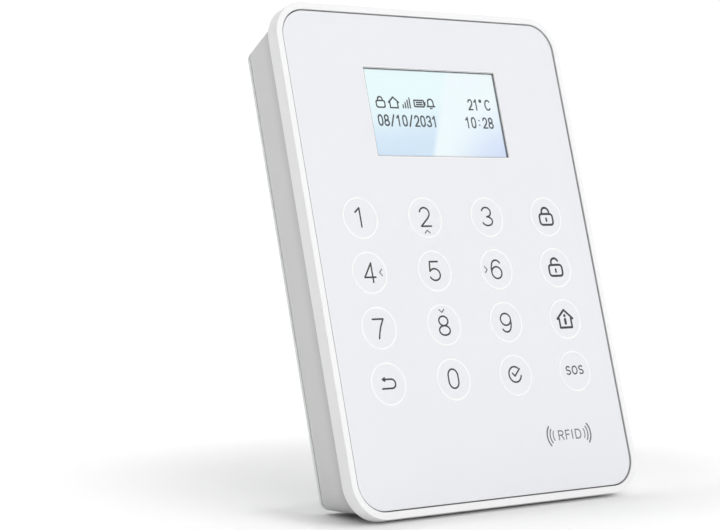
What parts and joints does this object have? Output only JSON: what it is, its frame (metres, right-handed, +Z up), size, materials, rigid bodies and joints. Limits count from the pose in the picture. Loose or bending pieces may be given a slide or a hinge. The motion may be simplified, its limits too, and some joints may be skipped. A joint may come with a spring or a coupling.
{
  "type": "alarm keypad panel",
  "caption": "Desk or wall alarm keypad with a touch front, display window, tapered rear housing, sliding wall plate and fold-out desk leg.",
  "frame": {"origin": "middle of the bounding box at floor level, standing on the frame and the open desk leg", "axes": "+Z up, the touch front faces -Y and leans back 15.83 degrees, +X to the right seen from the front"},
  "size_m": [0.123, 0.0728, 0.1663],
  "materials": {
    "rim_white": "satin moulded white, fine edge rounding",
    "shell_white": "fine moulded texture, matt white",
    "acrylic_white": "back-painted acrylic, smooth and glossy",
    "clear_lens": "clear polished acrylic",
    "display_glass": "lit display, pale blue",
    "diffuser": "milky plastic",
    "foam_tape": "foam tape",
    "circuit_board": "green solder mask",
    "chip_black": "moulded epoxy",
    "copper": "bare copper",
    "steel": "plated steel",
    "flat_cable": "polyimide film",
    "battery_wrap": "foil pouch",
    "rubber": "matt rubber",
    "black_plastic": "moulded black"
  },
  "bodies": {
    "panel": {"front_frame": "rim_white", "touch_panel": "acrylic_white", "display_window": "clear_lens", "panel_adhesive": "foam_tape", "light_guide": "diffuser", "touch_board": "circuit_board", "rfid_board": "circuit_board", "rfid_coil": "copper", "lcd_glass": "display_glass", "lcd_backlight": "diffuser", "lcd_holder": "black_plastic", "lcd_ribbon": "flat_cable", "main_board": "circuit_board", "processor_chip": "chip_black", "keypad_ribbon": "flat_cable", "radio_module": "steel", "antenna_wire": "copper", "buzzer": "chip_black", "battery_pack": "battery_wrap", "battery_tray": "black_plastic", "battery_connector": "diffuser", "battery_lead": "rubber", "usb_socket": "steel", "power_switch_body": "black_plastic", "tamper_switch_body": "black_plastic", "tamper_spring": "steel", "rear_housing": "shell_white", "housing_screw_1": "steel", "board_screw_1": "steel", "housing_screw_2": "steel", "board_screw_2": "steel", "housing_screw_3": "steel", "board_screw_3": "steel", "housing_screw_4": "steel", "board_screw_4": "steel"},
    "bracket": {"wall_plate": "shell_white", "leg_pin": "steel"},
    "leg": {"stand_leg": "shell_white", "foot_pad": "rubber"},
    "power_slider": {"power_switch_slider": "black_plastic"},
    "tamper_button": {"tamper_plunger": "diffuser"}
  },
  "joints": [
    {"name": "plate_slide", "type": "slide", "parent": "panel", "child": "bracket", "axis": [0, -0.2728, -0.9621], "range_m": [0, 0.006]},
    {"name": "leg_fold", "type": "hinge", "parent": "bracket", "child": "leg", "pos_m": [0, 0.00791, 0.05716], "axis": [-1, 0, 0], "range_deg": [0, 22.17]},
    {"name": "power_slide", "type": "slide", "parent": "panel", "child": "power_slider", "axis": [0, 0.2728, 0.9621], "range_m": [0, 0.003]},
    {"name": "tamper_press", "type": "slide", "parent": "panel", "child": "tamper_button", "axis": [0, -0.9621, 0.2728], "range_m": [0, 0.0015], "stiffness_N_per_m": 300, "springref_m": -0.002, "deforming": ["tamper_spring"]}
  ]
}
